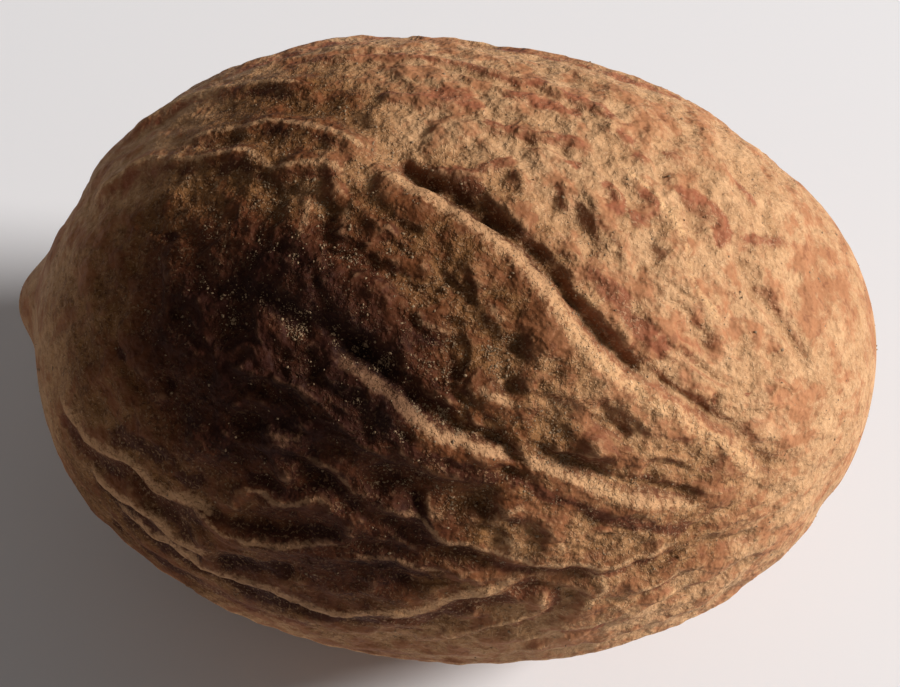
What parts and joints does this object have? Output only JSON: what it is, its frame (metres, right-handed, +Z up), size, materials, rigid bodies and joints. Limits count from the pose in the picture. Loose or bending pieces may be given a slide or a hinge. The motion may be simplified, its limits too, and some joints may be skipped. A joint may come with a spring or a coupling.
{
  "type": "whole nutmeg",
  "caption": "Whole dried nutmeg kernel, oval and deeply wrinkled, with a blunt knob at its stalk end, lying on its side.",
  "frame": {"origin": "middle of the kernel's footprint, at the level it rests on", "axes": "+X along the kernel's long axis, away from the knob at its stalk end; +Z up as it lies on its side"},
  "size_m": [0.026, 0.019, 0.0187],
  "materials": {
    "nutmeg": "dry, matt, wrinkled seed skin"
  },
  "bodies": {
    "root": {"nutmeg": "nutmeg"}
  },
  "joints": []
}
